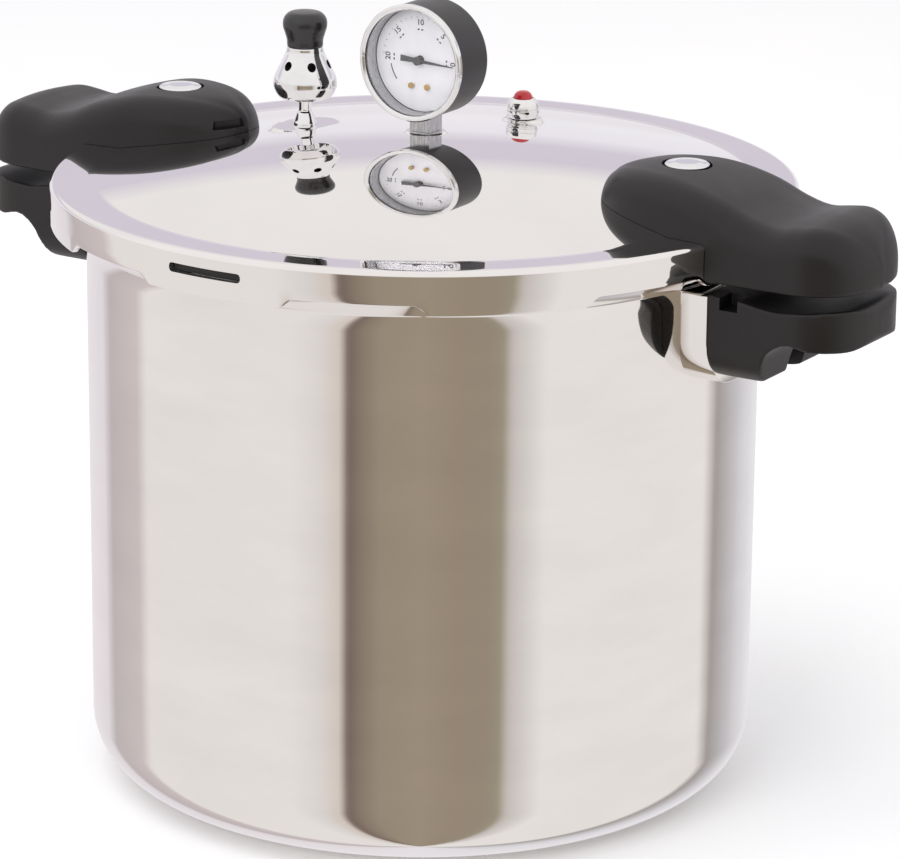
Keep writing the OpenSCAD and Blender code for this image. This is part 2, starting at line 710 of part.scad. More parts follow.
// Toothed quadrant with a tail that the link pulls
module sector_gear() {
    mesh_angle = sector_angle + 180;
    tooth_step = 360 / sector_teeth;
    color("goldenrod") at_gauge() translate([sector_at.x, sector_at.y, 0]) {
        translate([0, 0, gear_y]) linear_extrude(gear_t) difference() {
            union() {
                intersection() {
                    gear(sector_teeth, 11, mesh_angle - 2 * tooth_step);
                    polygon(concat([[0, 0]], arc([0, 0], 2 * sector_r, mesh_angle - 15, mesh_angle + 51)));
                }
                circle(r = 2.2, $fn = 64);
                rotate(tail_angle) translate([0, -1]) square([tail_len, 2]);
                rotate(tail_angle) translate([tail_len, 0]) circle(r = 1.2, $fn = 48);
            }
            circle(r = 0.8, $fn = 48);
        }
        rotate(tail_angle) translate([tail_len, 0, link_y - 0.2])
            cylinder(r = 0.5, h = gear_y - link_y + 0.3, $fn = 48);
    }
}

module sector_shaft() {
    color("silver") at_gauge() translate([sector_at.x, sector_at.y, back_plate_y - 0.6])
        cylinder(r = 0.75, h = front_plate_y + plate_t - back_plate_y + 1.2, $fn = 48);
}

// Bar from the sector's tail towards the tube tip, where it hangs just behind the tip
module link_bar() {
    far = 19.1 * [cos(tip_angle), sin(tip_angle)];
    span = far - tail_at;
    color("silver") at_gauge() translate([tail_at.x, tail_at.y, link_y])
        rotate(atan2(span.y, span.x)) linear_extrude(link_t) difference() {
            union() {
                translate([0, -0.7]) square([norm(span), 1.4]);
                circle(r = 1.3, $fn = 48);
                translate([norm(span), 0]) circle(r = 1.3, $fn = 48);
            }
            circle(r = 0.55, $fn = 48);
            translate([norm(span), 0]) circle(r = 0.5, $fn = 48);
        }
}

// Flat spiral round the arbor that takes up the play of the teeth
module hairspring() {
    turns = 3.5;
    half_t = 0.12;
    steps = 84;
    function spiral(i, side) = let (t = i / steps)
        (1.5 + 3.4 * t + side * half_t) * [cos(t * turns * 360), sin(t * turns * 360)];
    color("peru") at_gauge() translate([0, 0, 11]) linear_extrude(0.8) polygon(concat(
        [for (i = [0:steps]) spiral(i, 1)], [for (i = [steps:-1:0]) spiral(i, -1)]
    ));
}

module dial_posts() {
    color("goldenrod") at_gauge() for (s = [-1, 1])
        translate([s * 4.4, -12.5, front_plate_y + plate_t + gap / 2])
            washer(0.85, 1.7, dial_y - front_plate_y - plate_t - gap);
}

// ---- one part or all of them ----

pot_body();
color("gainsboro") rotate(180) boss();  // boss_left
color("gainsboro") boss();  // boss_right
rotate(180) lower_handle();  // lower_handle_left
lower_handle();  // lower_handle_right
lower_handle_screws();
lower_handle_washers();
canning_rack();
gasket();
lid();
rotate(180) top_handle();  // top_handle_left
top_handle();  // top_handle_right
top_handle_screws();
top_handle_washers();
top_handle_nuts();
rotate(180) handle_cap();  // handle_cap_left
handle_cap();  // handle_cap_right
vent_pipe();
vent_washer();
vent_nut();
weight_body();
weight_knob();
weight_stud();
indicator_collar();
indicator_pin();
indicator_seal();
indicator_nut();
gauge_socket();
gauge_washer();
gauge_nut();
gauge_case();
case_screws();
gauge_bezel();
gauge_lens();
gauge_dial();
dial_screws();
dial_posts();
bourdon_tube();
tube_tip();
movement_plate(back_plate_y);  // movement_back_plate
movement_plate(front_plate_y);  // movement_front_plate
movement_pillars();
needle_arbor();
gauge_needle();
sector_gear();
sector_shaft();
link_bar();
hairspring();
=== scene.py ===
import math

import bmesh
import bpy
from mathutils import Matrix, Vector


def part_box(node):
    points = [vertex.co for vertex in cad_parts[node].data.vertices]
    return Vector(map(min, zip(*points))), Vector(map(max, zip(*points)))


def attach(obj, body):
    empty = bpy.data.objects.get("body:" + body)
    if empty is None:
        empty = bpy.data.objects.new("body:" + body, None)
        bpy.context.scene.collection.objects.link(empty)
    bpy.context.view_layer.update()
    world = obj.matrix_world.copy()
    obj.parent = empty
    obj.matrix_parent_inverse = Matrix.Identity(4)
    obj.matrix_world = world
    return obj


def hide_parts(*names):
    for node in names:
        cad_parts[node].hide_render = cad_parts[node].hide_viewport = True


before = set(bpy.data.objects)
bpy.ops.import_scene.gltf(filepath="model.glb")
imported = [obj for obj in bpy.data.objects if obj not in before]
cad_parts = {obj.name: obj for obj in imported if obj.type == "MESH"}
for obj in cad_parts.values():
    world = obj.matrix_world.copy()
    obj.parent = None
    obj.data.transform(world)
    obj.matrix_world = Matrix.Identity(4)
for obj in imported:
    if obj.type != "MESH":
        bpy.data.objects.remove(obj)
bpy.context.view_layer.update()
scene = bpy.context.scene
mm = 0.001  # every size below is in millimetres, every mesh in metres


def linear(hexColour):  # sRGB hex to the linear colour a shader takes
    parts = [int(hexColour[i:i + 2], 16) / 255 for i in (1, 3, 5)]
    return tuple(c / 12.92 if c <= 0.04045 else ((c + 0.055) / 1.055) ** 2.4 for c in parts) + (1,)


def addNode(tree, kind, settings=None, inputs=None):
    node = tree.nodes.new("ShaderNode" + kind)
    for name, value in (settings or {}).items():
        if name == "stops":  # (place, hex colour) along a ramp
            ramp = node.color_ramp
            while len(ramp.elements) < len(value):
                ramp.elements.new(0.5)
            for element, (place, colour) in zip(ramp.elements, value):
                element.position = place
                element.color = linear(colour)
        else:
            setattr(node, name, value)
    for name, value in (inputs or {}).items():
        if isinstance(value, bpy.types.NodeSocket):
            tree.links.new(value, node.inputs[name])
        else:
            node.inputs[name].default_value = value
    return node


print("studio")

studio = {
    "cameraAt": (1.0774, -1.6865, 0.7769),
    "lookAt": (0.01099, 0.00692, 0.16316),
    "lens": 176.08,
    "roll": 0.529,
    "floor": "#f4f3f4",
    "skyTop": "#f6f3f1",
    "keyPower": 12,
    "fillPower": 5,
    "frontPower": 16,
}

camera = bpy.data.objects.new("camera", bpy.data.cameras.new("camera"))
camera.data.lens = studio["lens"]
camera.data.sensor_width = 36
camera.data.clip_start = 0.05
aim = (Vector(studio["lookAt"]) - Vector(studio["cameraAt"])).to_track_quat("-Z", "Y")
camera.matrix_world = (
    Matrix.Translation(studio["cameraAt"])
    @ aim.to_matrix().to_4x4()
    @ Matrix.Rotation(math.radians(studio["roll"]), 4, "Z")
)
scene.collection.objects.link(camera)
scene.camera = camera
scene.view_settings.view_transform = "Standard"

# Soft cards round the room, by their bearing from the camera side: white walls, one broad tan
# gap in front and slim grey gaps at the sides. Polished metal shows them as upright bands.
cards = [
    (-180, "#ece8ec"), (-152, "#e9e3e7"), (-141, "#e4dfe3"), (-134, "#c2b9ba"), (-114, "#cfc5c4"),
    (-108, "#eae6e3"), (-45, "#eae6e3"), (-36, "#e2dedb"), (-28, "#d9cec5"), (-25, "#786962"),
    (-20, "#8d8071"), (-14, "#9b8f7d"), (0, "#a09380"), (13, "#9b8d7b"), (23, "#9a8e7d"),
    (27, "#9e9683"), (30, "#cac2bd"), (36, "#dbd7d3"), (42, "#ece8e4"), (112, "#ece8e4"),
    (120, "#a6a09c"), (129, "#bdb9ba"), (144, "#dad8dc"), (158, "#e6e5e8"), (180, "#ece8ec"),
]
world = bpy.data.worlds.new("card room")
scene.world = world
world.use_nodes = True
room = world.node_tree
room.nodes.clear()
toCamera = math.degrees(math.atan2(studio["cameraAt"][1], studio["cameraAt"][0]))
ray = addNode(room, "TexCoord")
facing = addNode(room, "Mapping", {"vector_type": "POINT"}, {
    "Vector": ray.outputs["Generated"], "Rotation": (0, 0, -math.radians(toCamera))})
split = addNode(room, "SeparateXYZ", inputs={"Vector": facing.outputs["Vector"]})
bearing = addNode(room, "Math", {"operation": "ARCTAN2"}, {0: split.outputs["Y"], 1: split.outputs["X"]})
around = addNode(room, "MapRange", inputs={
    "Value": bearing.outputs[0], "From Min": -math.pi, "From Max": math.pi})
walls = addNode(room, "ValToRGB", {"stops": [((a + 180) / 360, c) for a, c in cards]},
                {"Fac": around.outputs["Result"]})
height = addNode(room, "MapRange", inputs={
    "Value": split.outputs["Z"], "From Min": 0.02, "From Max": 0.22})
overhead = addNode(room, "Mix", {"data_type": "RGBA"}, {
    "Factor": height.outputs["Result"], 6: walls.outputs["Color"], 7: linear(studio["skyTop"])})
# Behind the piece the wall is banded by height, which the lid shows: lilac low, cream above
banded = addNode(room, "ValToRGB", {"stops": [
    (0.0, "#f3f1f5"), (0.14, "#edeaf1"), (0.2, "#d6d0db"), (0.27, "#d6d0db"), (0.33, "#f0edeb"),
    (0.6, "#f1eeec"), (0.8, "#f8f6f5")]}, {"Fac": split.outputs["Z"]})
rear = addNode(room, "MapRange", inputs={
    "Value": split.outputs["X"], "From Min": -0.25, "From Max": -0.45})
above = addNode(room, "MapRange", inputs={
    "Value": split.outputs["Z"], "From Min": 0.0, "From Max": 0.05})
rearAbove = addNode(room, "Math", {"operation": "MULTIPLY"}, {
    0: rear.outputs["Result"], 1: above.outputs["Result"]})
allRound = addNode(room, "Mix", {"data_type": "RGBA"}, {
    "Factor": rearAbove.outputs[0], 6: overhead.outputs[2], 7: banded.outputs["Color"]})
seen = addNode(room, "LightPath")
backdrop = addNode(room, "Mix", {"data_type": "RGBA"}, {
    "Factor": seen.outputs["Is Camera Ray"], 6: allRound.outputs[2], 7: (1, 1, 1, 1)})
glow = addNode(room, "Background", inputs={"Color": backdrop.outputs[2], "Strength": 1.0})
addNode(room, "OutputWorld", inputs={"Surface": glow.outputs[0]})

for name, place, size, power in (
    ("key", (-0.5, -0.6, 2.0), 1.6, studio["keyPower"]),
    ("fill", (1.6, 0.9, 1.7), 1.2, studio["fillPower"]),
    ("front", (0.1, -2.0, 1.0), 1.2, studio["frontPower"]),
):
    lamp = bpy.data.objects.new(name, bpy.data.lights.new(name, "AREA"))
    lamp.data.size = size
    lamp.data.energy = power
    lamp.visible_glossy = False  # the metal mirrors the cards, not the lamps
    aim = (Vector((0, 0, 0.2)) - Vector(place)).to_track_quat("-Z", "Y")
    lamp.matrix_world = Matrix.Translation(place) @ aim.to_matrix().to_4x4()
    scene.collection.objects.link(lamp)


print("materials")


def startMaterial(name):
    material = bpy.data.materials.new(name)
    material.use_nodes = True
    tree = material.node_tree
    tree.nodes.clear()
    shader = addNode(tree, "BsdfPrincipled")
    addNode(tree, "OutputMaterial", inputs={"Surface": shader.outputs[0]})
    return material, tree, shader


def surface(name, settings):
    # One finish: two close colours and a spread of roughness over a cloudy pattern of a real
    # size, and a fine relief over a second, smaller one
    material, tree, shader = startMaterial(name)
    place = addNode(tree, "TexCoord").outputs["Object"]
    if "stretch" in settings:
        place = addNode(tree, "Mapping", inputs={
            "Vector": place, "Scale": settings["stretch"]}).outputs["Vector"]
    cloud = addNode(tree, "TexNoise", inputs={
        "Vector": place, "Scale": 1 / (settings["patch"] * mm), "Detail": 4.0})
    tint = addNode(tree, "ValToRGB", {"stops": [(0.3, settings["dark"]), (0.7, settings["light"])]},
                   {"Fac": cloud.outputs["Fac"]})
    sheen = addNode(tree, "MapRange", inputs={
        "Value": cloud.outputs["Fac"], "From Min": 0.3, "From Max": 0.7,
        "To Min": settings["rough"][0], "To Max": settings["rough"][1]})
    grain = addNode(tree, "TexNoise", inputs={
        "Vector": place, "Scale": 1 / (settings["grain"] * mm), "Detail": 3.0})
    relief = addNode(tree, "Bump", inputs={
        "Height": grain.outputs["Fac"], "Strength": settings["relief"],
        "Distance": settings.get("depth", 0.05) * mm})
    tree.links.new(tint.outputs["Color"], shader.inputs["Base Color"])
    tree.links.new(sheen.outputs["Result"], shader.inputs["Roughness"])
    tree.links.new(relief.outputs["Normal"], shader.inputs["Normal"])
    for socket, value in settings.get("sockets", {}).items():
        shader.inputs[socket].default_value = value
    return material


# Spun and buffed aluminium: a near mirror, its reflections only just softened by buffing haze
polishedAluminium = surface("polishedAluminium", {
    "dark": "#f2f0f0", "light": "#f8f6f5", "patch": 60, "rough": (0.03, 0.06),
    "stretch": (1, 1, 3), "grain": 28, "relief": 0.35, "depth": 0.02, "sockets": {"Metallic": 1.0}})
# The lid is buffed finer, so what stands on it shows clearly in it
mirrorAluminium = surface("mirrorAluminium", {
    "dark": "#f2f0f0", "light": "#f8f6f5", "patch": 80, "rough": (0.012, 0.03),
    "grain": 45, "relief": 0.2, "depth": 0.012, "sockets": {"Metallic": 1.0}})
# Rolled sheet left as it comes from the mill: grey and soft, with a faint grain one way
millAluminium = surface("millAluminium", {
    "dark": "#b9b8b7", "light": "#cfcecd", "patch": 14, "rough": (0.28, 0.4),
    "stretch": (1, 8, 1), "grain": 0.8, "relief": 0.25, "sockets": {"Metallic": 1.0}})
# Moulded phenolic: dark warm grey, a broad soft shine from the fine texture of the mould
mouldedPhenolic = surface("mouldedPhenolic", {
    "dark": "#0f0d0e", "light": "#151214", "patch": 22, "rough": (0.38, 0.46),
    "grain": 0.45, "relief": 0.2, "sockets": {"IOR": 1.48}})
# Turned and polished phenolic for the knob: darker and glossier than the handles
turnedPhenolic = surface("turnedPhenolic", {
    "dark": "#1d1c1e", "light": "#252425", "patch": 6, "rough": (0.22, 0.3),
    "grain": 0.3, "relief": 0.12, "sockets": {"IOR": 1.6}})
# Chromium plate over brass: cold white and the sharpest mirror on the piece
chromePlate = surface("chromePlate", {
    "dark": "#eeeff1", "light": "#f7f7f8", "patch": 9, "rough": (0.02, 0.045),
    "grain": 3, "relief": 0.12, "depth": 0.01, "sockets": {"Metallic": 1.0}})
# Satin nickel on the gauge's square stem: grey, streaked along its height by the file
satinNickel = surface("satinNickel", {
    "dark": "#a9a9ab", "light": "#c6c6c8", "patch": 5, "rough": (0.16, 0.24),
    "stretch": (6, 6, 1), "grain": 0.7, "relief": 0.2, "sockets": {"Metallic": 1.0}})
# Stove enamel, sprayed: flat black with a slight orange peel
sprayedEnamel = surface("sprayedEnamel", {
    "dark": "#252427", "light": "#2d2c2f", "patch": 12, "rough": (0.34, 0.42),
    "grain": 0.9, "relief": 0.25, "sockets": {"IOR": 1.5}})
# Moulded nitrile: dull, slightly bloomed black
mouldedRubber = surface("mouldedRubber", {
    "dark": "#1b1b1c", "light": "#29292a", "patch": 10, "rough": (0.55, 0.7),
    "grain": 0.5, "relief": 0.3, "sockets": {"IOR": 1.52}})
# Injection moulded nylon for the raised pin: saturated red and glossy
mouldedRed = surface("mouldedRed", {
    "dark": "#a3131f", "light": "#c01f2c", "patch": 4, "rough": (0.12, 0.2),
    "grain": 0.6, "relief": 0.08, "sockets": {"IOR": 1.53, "Coat Weight": 0.4}})
# Zinc plated steel: bluish grey with a mottled spangle
zincSteel = surface("zincSteel", {
    "dark": "#a4a8ac", "light": "#c3c6c9", "patch": 1.2, "rough": (0.22, 0.36),
    "grain": 0.5, "relief": 0.25, "sockets": {"Metallic": 1.0}})
# Brass, turned and stamped: warm yellow with fine tool lines
turnedBrass = surface("turnedBrass", {
    "dark": "#b08d4f", "light": "#cfae6c", "patch": 1.6, "rough": (0.18, 0.3),
    "grain": 0.3, "relief": 0.2, "sockets": {"Metallic": 1.0}})
# Drawn phosphor bronze: redder than the brass, and smoother
drawnBronze = surface("drawnBronze", {
    "dark": "#9b6a45", "light": "#bb8560", "patch": 2.5, "rough": (0.2, 0.32),
    "grain": 0.4, "relief": 0.15, "sockets": {"Metallic": 1.0}})
# Lacquered card white of the dial plate: cool pale grey, just off matt
printedDial = surface("printedDial", {
    "dark": "#d9d7dd", "light": "#e0dee3", "patch": 6, "rough": (0.4, 0.5),
    "grain": 0.25, "relief": 0.05, "sockets": {"IOR": 1.48}})
# Screen ink on the dial: a soft charcoal that covers a little unevenly
screenInk = surface("screenInk", {
    "dark": "#2c2b2e", "light": "#3b3a3e", "patch": 0.8, "rough": (0.5, 0.6),
    "grain": 0.2, "relief": 0.05})
# Float glass: clear and flat, with the faintest haze
floatGlass = surface("floatGlass", {
    "dark": "#fbfcfc", "light": "#ffffff", "patch": 20, "rough": (0.0, 0.012),
    "grain": 20, "relief": 0.02, "depth": 0.01, "sockets": {"Transmission Weight": 1.0, "IOR": 1.5}})
# Painted shade for the bores: the hole walls are coloured nearly black, so a drilled hole reads as a dark
# spot
paintedShadeBore = surface("paintedShadeBore", {
    "dark": "#131213", "light": "#1c1a1a", "patch": 2, "rough": (0.5, 0.65),
    "grain": 0.3, "relief": 0.1})
# Painted plywood of the table: pale and even
paintedFloor = surface("paintedFloor", {
    "dark": "#f8fafe", "light": "#fcfdff", "patch": 400, "rough": (0.7, 0.8),
    "grain": 6, "relief": 0.03})

lensTree = floatGlass.node_tree  # lamps shine through the lens onto the dial
pane = next(node for node in lensTree.nodes if node.type == "BSDF_PRINCIPLED")
shadowRay = addNode(lensTree, "LightPath")
clear = addNode(lensTree, "BsdfTransparent")
through = addNode(lensTree, "MixShader", inputs={
    0: shadowRay.outputs["Is Shadow Ray"], 1: pane.outputs[0], 2: clear.outputs[0]})
lensEnd = next(node for node in lensTree.nodes if node.type == "OUTPUT_MATERIAL")
lensTree.links.new(through.outputs[0], lensEnd.inputs["Surface"])

floorMesh = bpy.data.meshes.new("floor")
floorMesh.from_pydata([(-8, -8, 0), (8, -8, 0), (8, 8, 0), (-8, 8, 0)], [], [(0, 1, 2, 3)])
floorMesh.materials.append(paintedFloor)
floor = bpy.data.objects.new("floor", floorMesh)
floor.location.z = -0.0003
floor.visible_glossy = False  # the metal then mirrors the cards, as it would over a clear table
scene.collection.objects.link(floor)


def spline(points, steps=6):  # one smooth line through a few points
    line = []
    for i in range(len(points) - 1):
        a, b, c, d = (Vector(points[min(max(k, 0), len(points) - 1)]) for k in range(i - 1, i + 3))
        for k in range(steps):
            t = k / steps
            line.append(0.5 * (2 * b + (c - a) * t + (2 * a - 5 * b + 4 * c - d) * t * t
                               + (3 * b - a - 3 * c + d) * t ** 3))
    return line + [Vector(points[-1])]


def softened(corners, steps=5, closed=False):  # corners given as (x, y, radius) become rounds
    line = []
    for i, corner in enumerate(corners):
        at = Vector(corner[:2])
        radius = corner[2] if len(corner) > 2 else 0
        if not radius or (not closed and i in (0, len(corners) - 1)):
            line.append(at)
            continue
        back = (Vector(corners[i - 1][:2]) - at).normalized()
        on = (Vector(corners[(i + 1) % len(corners)][:2]) - at).normalized()
        reach = radius / math.tan(back.angle(on) / 2)
        for k in range(steps + 1):
            t = k / steps
            line.append(at + back * reach * (1 - t) ** 2 + on * reach * t ** 2)
    return line


def lineAt(line, x):  # height of a line of points at x, up to where it turns back
    for a, b in zip(line, line[1:]):
        if a[0] <= x <= b[0] and b[0] > a[0]:
            return a[1] + (b[1] - a[1]) * (x - a[0]) / (b[0] - a[0])
    return line[0][1] if x < line[0][0] else max(line, key=lambda p: p[0])[1]


def piece(name, points, faces, material, crease=38):
    mesh = bpy.data.meshes.new(name)
    mesh.from_pydata([Vector(p) * mm for p in points], [], faces)
    build = bmesh.new()
    build.from_mesh(mesh)
    bmesh.ops.remove_doubles(build, verts=build.verts, dist=0.004 * mm)
    bmesh.ops.dissolve_degenerate(build, edges=build.edges, dist=0.002 * mm)
    bmesh.ops.recalc_face_normals(build, faces=build.faces)
    build.to_mesh(mesh)
    build.free()
    made = bpy.data.objects.new(name, mesh)
    scene.collection.objects.link(made)
    mesh.materials.append(material)
    smoothed(made, crease)
    return made


def smoothed(made, crease):
    made.data.shade_smooth()
    made.data.set_sharp_from_angle(angle=math.radians(crease))


def turned(name, rowsAt, material, steps=128, closed=False, crease=38):
    # A piece turned about the upright axis. rowsAt is its section, or gives one for each bearing.
    bearings = steps if isinstance(steps, list) else [i * 360 / steps for i in range(steps)]
    points, faces = [], []
    for bearing in bearings:
        rows = rowsAt(bearing) if callable(rowsAt) else rowsAt
        c, s = math.cos(math.radians(bearing)), math.sin(math.radians(bearing))
        points += [(p[0] * c, p[0] * s, p[1]) for p in rows]
    n = len(rows)
    for i in range(len(bearings)):
        a, b = i * n, (i + 1) % len(bearings) * n
        for j in range(n if closed else n - 1):
            k = (j + 1) % n
            faces.append((a + j, b + j, b + k, a + k))
    return piece(name, points, faces, material, crease)


def extruded(name, outline, low, high, material, crease=38):  # an outline raised along +Z
    n = len(outline)
    points = [(p[0], p[1], low) for p in outline] + [(p[0], p[1], high) for p in outline]
    faces = [tuple(range(n))[::-1], tuple(range(n, 2 * n))]
    faces += [(i, (i + 1) % n, (i + 1) % n + n, i + n) for i in range(n)]
    return piece(name, points, faces, material, crease)


def settle(made, matrix):  # moves the mesh itself, so the piece stays at the origin
    made.data.transform(matrix)
    made.data.update()
    return made


def moved(x, y, z):
    return Matrix.Translation(Vector((x, y, z)) * mm)


def spun(degrees, axis="Z"):
    return Matrix.Rotation(math.radians(degrees), 4, axis)


def applied(made, crease=None):  # makes the modifiers part of the mesh
    shape = bpy.data.meshes.new_from_object(made.evaluated_get(bpy.context.evaluated_depsgraph_get()))
    made.modifiers.clear()
    made.data = shape
    if crease is not None:
        smoothed(made, crease)
    return made


def carve(made, cutter, how="DIFFERENCE", crease=38):
    step = made.modifiers.new("carve", "BOOLEAN")
    step.operation = how
    step.solver = "EXACT"
    step.material_mode = "TRANSFER"  # the cut takes the cutter's finish
    step.object = cutter
    applied(made, crease)
    bpy.data.objects.remove(cutter)
    return made


def fused(made, voxel, rounds, crease=60):  # one skin over joined solids, its edges worn round
    step = made.modifiers.new("fuse", "REMESH")
    step.mode = "VOXEL"
    step.voxel_size = voxel * mm
    step = made.modifiers.new("ease", "SMOOTH")
    step.factor = 0.5
    step.iterations = rounds
    return applied(made, crease)


def joined(name, parts):
    build = bmesh.new()
    for part in parts:
        build.from_mesh(part.data)
    mesh = bpy.data.meshes.new(name)
    build.to_mesh(mesh)
    build.free()
    for material in parts[0].data.materials:
        mesh.materials.append(material)
    made = bpy.data.objects.new(name, mesh)
    scene.collection.objects.link(made)
    for part in parts:
        bpy.data.objects.remove(part)
    return made


def copied(made, name, matrix):
    twin = bpy.data.objects.new(name, made.data.copy())
    scene.collection.objects.link(twin)
    return settle(twin, matrix)


def fit(made, body, finishSlot, *nodes):  # rides on its body and stands for the plain nodes
    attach(made, body)
    if nodes:
        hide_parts(*nodes)


def dress(material, *nodes):  # a plain node that keeps its shape and gets its finish
    for node in nodes:
        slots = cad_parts[node].data.materials
        for i in range(len(slots)):
            slots[i] = material
        if not len(slots):
            slots.append(material)


def inside(bearing, pitch, span, edge):  # 1 within a lug, 0 between two, eased at its ends
    away = abs((bearing + pitch / 2) % pitch - pitch / 2)
    t = min(max((span / 2 + edge / 2 - away) / edge, 0), 1)
    return t * t * (3 - 2 * t)


def bearings(coarse, fine, close):  # round the part in coarse steps, fine where close says so
    steps, at = [], 0
    while at < 360 - fine / 2:
        steps.append(at)
        at += fine if close(at) else coarse
    return steps


print("pot")

pot = {"radius": 158, "wall": 2.6, "floor": 4.5, "corner": 28.6, "rim": 276, "flange": 166,
       "lugReach": 171.1, "lugFoot": 270.6, "lugTop": 274.4, "lugPitch": 45, "lugSpan": 18}


def potRows(bearing):
    p = pot
    reach = p["flange"] + (p["lugReach"] - p["flange"]) * inside(bearing, p["lugPitch"], p["lugSpan"], 0.8)
    edge = 0.5 * (reach - p["flange"]) / (p["lugReach"] - p["flange"])
    inner, bend = p["radius"] - p["wall"], p["corner"] - p["wall"]
    arc = [math.radians(-90 + 90 * i / 16) for i in range(17)]
    rows = [(0, 0.6), (96, 0.6), (98, 0), (112, 0)]
    rows += [(p["radius"] - p["corner"] * (1 - math.cos(t)), p["corner"] * (1 + math.sin(t))) for t in arc]
    rows += [(p["radius"], z) for z in (60, 100, 140, 180, 220, 255)]
    rows += [(p["radius"], p["rim"] - 14), (p["radius"] + 0.6, p["rim"] - 13.2),
             (p["flange"] - 0.4, p["rim"] - 6.4), (p["flange"], p["rim"] - 5.8),
             (p["flange"], p["lugFoot"]),
             (reach - edge, p["lugFoot"]), (reach, p["lugFoot"] + edge), (reach, p["lugTop"] - edge),
             (reach - edge, p["lugTop"]), (p["flange"], p["lugTop"]), (p["flange"], p["rim"] - 1),
             (p["flange"] - 0.3, p["rim"] - 0.3), (p["flange"] - 1, p["rim"]), (inner + 1, p["rim"]),
             (inner + 0.3, p["rim"] - 0.3), (inner, p["rim"] - 1)]
    rows += [(inner, z) for z in (240, 180, 120, 60)]
    rows += [(inner - bend * (1 - math.cos(t)), p["floor"] + bend * (1 + math.sin(t)))
             for t in reversed(arc)]
    return rows + [(80, p["floor"]), (0, p["floor"])]


def nearPotLug(at):
    return abs(abs((at + 22.5) % 45 - 22.5) - pot["lugSpan"] / 2) < 1


potShell = turned("potShell", potRows, polishedAluminium, bearings(1, 0.2, nearPotLug))
fit(potShell, "pot", "polished_aluminium", "pot_body")

boss = {"reach": 172.2, "half": 30, "low": 218, "high": 262, "round": 20}
corners = [(-boss["half"], boss["high"], 1.5), (-boss["half"], boss["low"], boss["round"]),
           (boss["half"], boss["low"], boss["round"]), (boss["half"], boss["high"], 1.5)]
block = extruded("bossBlock", softened(corners, 14, True), pot["radius"] - 10, boss["reach"],
                 polishedAluminium)
settle(block, Matrix(((0, 0, 1, 0), (1, 0, 0, 0), (0, 1, 0, 0), (0, 0, 0, 1))))
bevel = block.modifiers.new("edge", "BEVEL")
bevel.width = 0.7 * mm
bevel.segments = 3
applied(block)
hollow = turned("bossHollow", [(0, 200), (pot["radius"] - 0.2, 200), (pot["radius"] - 0.2, 280), (0, 280)],
                polishedAluminium, 360)
carve(block, hollow)
bossRight = block
bossRight.name = "bossRight"
bossLeft = copied(bossRight, "bossLeft", spun(180))
fit(bossRight, "pot", "polished_aluminium", "boss_right")
fit(bossLeft, "pot", "polished_aluminium", "boss_left")


print("lid")

lid = {"skirt": 174.75, "wall": 3, "ring": 287, "panel": 155.5, "panelHeight": 286.8, "rise": 14,
       "shoulder": 2.5, "low": 267.3, "notch": 271.7, "lugSpan": 25, "hookSpan": 19, "hookReach": 167}
domeRadius = (lid["panel"] ** 2 + lid["rise"] ** 2) / (2 * lid["rise"])
def domeHeight(r):
    return lid["panelHeight"] - domeRadius + lid["rise"] + math.sqrt(domeRadius ** 2 - r * r)


ventAt, gaugeAt, signalAt = (-80.6, 19.5), (-18, 29), (-1.254, 89.791)
pads = [  # flats stamped round the fittings: half widths towards the middle and across, and lift
    {"at": ventAt, "out": 12.5, "across": 19, "lift": 0.9, "ease": 1.6},
    {"at": gaugeAt, "out": 10, "across": 10, "lift": 0.9, "ease": 1.5},
    {"at": signalAt, "out": 9.8, "across": 9.8, "lift": 1.6, "ease": 1.6},
]
for pad in pads:
    pad["top"] = domeHeight(math.hypot(*pad["at"])) + pad["lift"]


def lidFace():
    arc = [math.radians(90 - 90 * i / 8) for i in range(9)]
    turn = [(lid["skirt"] - lid["shoulder"] * (1 - math.cos(t)),
             lid["ring"] - lid["shoulder"] * (1 - math.sin(t))) for t in arc]
    rings = [0, 8, 15, 19] + [22 + 1.2 * i for i in range(22)] + [52, 57, 62]
    rings += [66 + 1.2 * i for i in range(32)] + [108, 114, 120, 126, 132, 138, 144, 149, 153]
    edge = [(155.4, 286.82), (156.6, 286.94), (158.2, 287), (161, 287), (165, 287), (169, 287)]
    return [(r, domeHeight(r)) for r in rings] + edge + turn


lidTop = lidFace()


def stamped(x, y, z):
    for pad in pads:
        out = Vector(pad["at"]).normalized()
        away = Vector((x, y)) - Vector(pad["at"])
        far = math.hypot(away.dot(out) / pad["out"], away.cross(out) / pad["across"])
        t = min(max((1 - far) * min(pad["out"], pad["across"]) / pad["ease"] + 0.5, 0), 1)
        z += (pad["top"] - z) * t * t * (3 - 2 * t)
    return z


def lidRows(bearing):
    c, s = math.cos(math.radians(bearing)), math.sin(math.radians(bearing))
    low = lid["notch"] - (lid["notch"] - lid["low"]) * inside(bearing, 45, lid["lugSpan"], 2.6)
    hook = inside(bearing, 45, lid["hookSpan"], 0.8)
    inner = lid["skirt"] - lid["wall"]
    tip = inner - (inner - lid["hookReach"]) * hook
    rows = [(r, stamped(r * c, r * s, z)) for r, z in lidTop]
    rows += [(lid["skirt"], z) for z in (280.4, 276.2, low + 1.2)]
    rows += [(lid["skirt"] - 0.25, low + 0.35), (lid["skirt"] - 0.9, low), (inner + 0.5, low),
             (tip + 0.3, low), (tip, low + 0.3), (tip, low + 2.3), (tip + 0.3 * hook, low + 2.6),
             (inner, low + 2.6),
             (inner, 276), (inner, 281.5), (inner - 0.7, 283.3), (inner - 2.5, 284), (158, 284),
             (155.6, 283.8)]
    return rows + [(r, domeHeight(r) - lid["wall"]) for r in (149, 140, 120, 100, 75, 50, 25, 0)]


